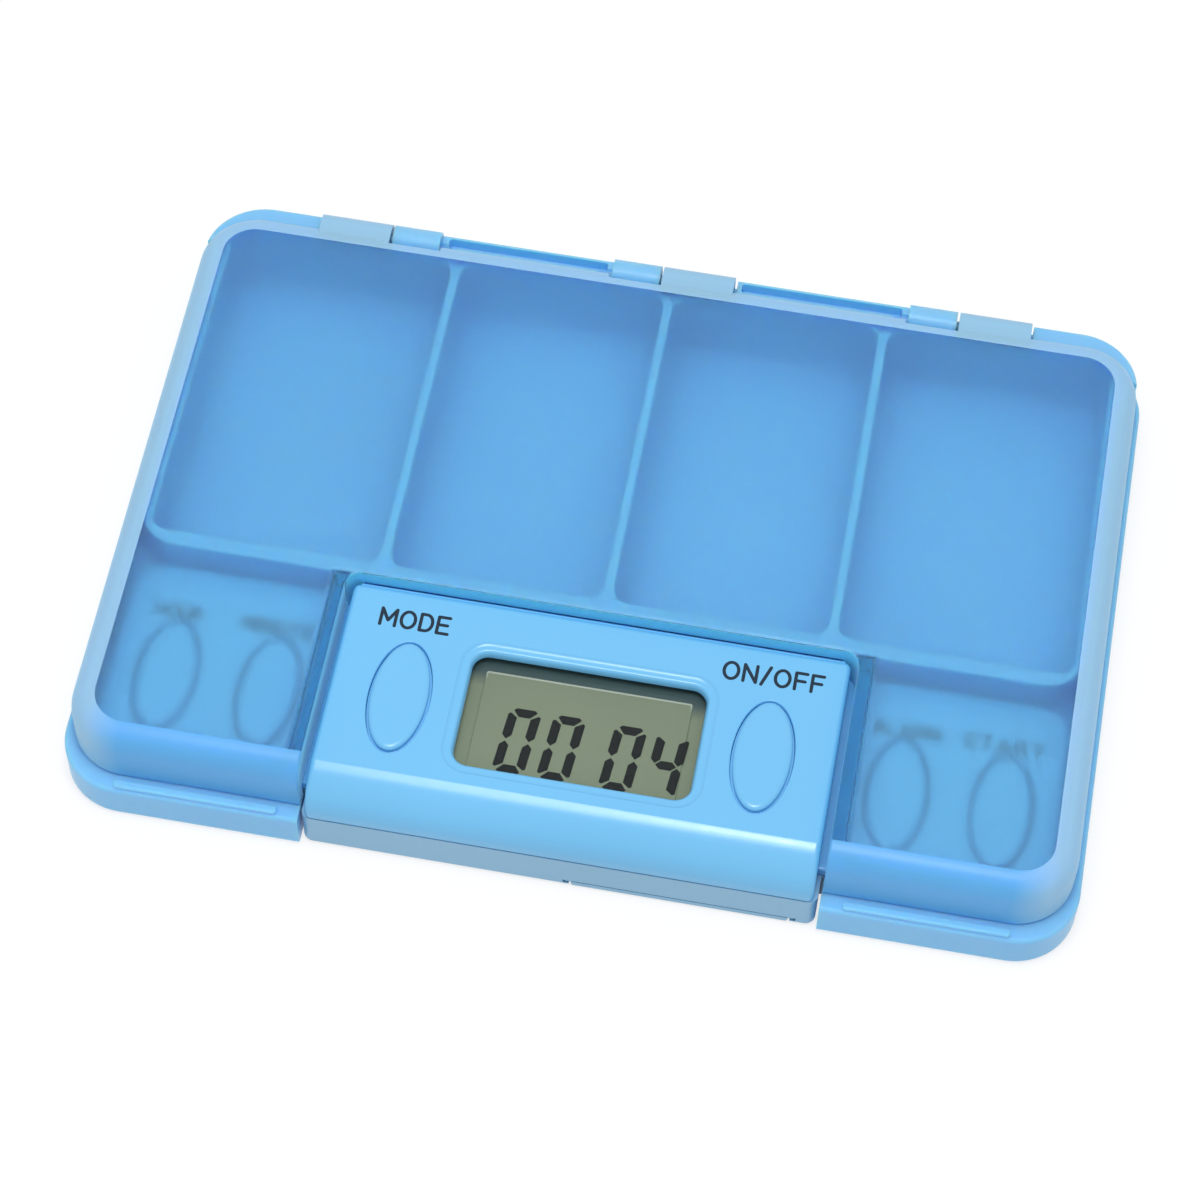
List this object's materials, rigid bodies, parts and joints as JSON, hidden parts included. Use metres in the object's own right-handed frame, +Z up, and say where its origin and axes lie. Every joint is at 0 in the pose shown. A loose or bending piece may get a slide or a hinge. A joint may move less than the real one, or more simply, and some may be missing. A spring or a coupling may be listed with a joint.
{
  "type": "pill organizer",
  "caption": "Flat hinged pill box with divided compartments, a frosted lid and a front alarm timer with a display and oval push buttons.",
  "frame": {"origin": "on the resting plane, under the middle of the tray's length and depth", "axes": "+X along the long side to the right as the timer is read, +Y from the timer to the hinge, +Z up through the lid"},
  "size_m": [0.12, 0.0822, 0.0135],
  "materials": {
    "tray_plastic": "translucent satin blue moulding",
    "lid_plastic": "frosted translucent blue moulding",
    "case_plastic": "opaque light blue, semi-gloss",
    "shell_plastic": "opaque grey blue, satin",
    "button_plastic": "opaque light blue, semi-gloss",
    "lens_plastic": "clear",
    "display_glass": "grey green liquid crystal with black segments",
    "holder_plastic": "white",
    "grey_rubber": "matte",
    "board": "green solder mask",
    "chip_epoxy": "black epoxy",
    "steel": "bright",
    "brass": "plain"
  },
  "bodies": {
    "case": {"base_tray": "tray_plastic", "hinge_pin_left": "tray_plastic", "hinge_pin_centre": "tray_plastic", "hinge_pin_right": "tray_plastic", "timer_top_shell": "case_plastic", "timer_bottom_shell": "shell_plastic", "button_cell_left": "steel", "button_cell_right": "steel", "contact_positive": "steel", "contact_negative": "steel", "lcd_window": "lens_plastic", "lcd_panel": "display_glass", "lcd_holder": "holder_plastic", "zebra_connector": "grey_rubber", "circuit_board": "board", "controller_blob": "chip_epoxy", "crystal_can": "steel", "piezo_buzzer": "brass", "keypad_left": "grey_rubber", "keypad_right": "grey_rubber", "case_screw_left": "steel", "case_screw_right": "steel", "tray_screw_left": "steel", "tray_screw_right": "steel", "board_screw_left": "steel", "board_screw_right": "steel"},
    "lid": {"lid": "lid_plastic"},
    "battery_door": {"battery_door": "shell_plastic", "contact_bridge": "steel"},
    "button_deck_left_outer": {"button_deck_left_outer": "button_plastic"},
    "button_deck_left_inner": {"button_deck_left_inner": "button_plastic"},
    "button_panel_left": {"button_panel_left": "button_plastic"},
    "button_panel_right": {"button_panel_right": "button_plastic"},
    "button_deck_right_inner": {"button_deck_right_inner": "button_plastic"},
    "button_deck_right_outer": {"button_deck_right_outer": "button_plastic"}
  },
  "joints": [
    {"name": "lid_hinge", "type": "hinge", "parent": "case", "child": "lid", "pos_m": [0, 0.03905, 0.0114], "axis": [-1, 0, 0], "range_deg": [0, 120]},
    {"name": "battery_door_slide", "type": "slide", "parent": "case", "child": "battery_door", "axis": [0, -1, 0], "range_m": [0, 0.014]},
    {"name": "press_deck_left_outer", "type": "slide", "parent": "case", "child": "button_deck_left_outer", "axis": [0, 0, -1], "range_m": [0, 0.0006], "stiffness_N_per_m": 1200},
    {"name": "press_deck_left_inner", "type": "slide", "parent": "case", "child": "button_deck_left_inner", "axis": [0, 0, -1], "range_m": [0, 0.0006], "stiffness_N_per_m": 1200},
    {"name": "press_panel_left", "type": "slide", "parent": "case", "child": "button_panel_left", "axis": [0, 0, -1], "range_m": [0, 0.0006], "stiffness_N_per_m": 1200},
    {"name": "press_panel_right", "type": "slide", "parent": "case", "child": "button_panel_right", "axis": [0, 0, -1], "range_m": [0, 0.0006], "stiffness_N_per_m": 1200},
    {"name": "press_deck_right_inner", "type": "slide", "parent": "case", "child": "button_deck_right_inner", "axis": [0, 0, -1], "range_m": [0, 0.0006], "stiffness_N_per_m": 1200},
    {"name": "press_deck_right_outer", "type": "slide", "parent": "case", "child": "button_deck_right_outer", "axis": [0, 0, -1], "range_m": [0, 0.0006], "stiffness_N_per_m": 1200}
  ]
}
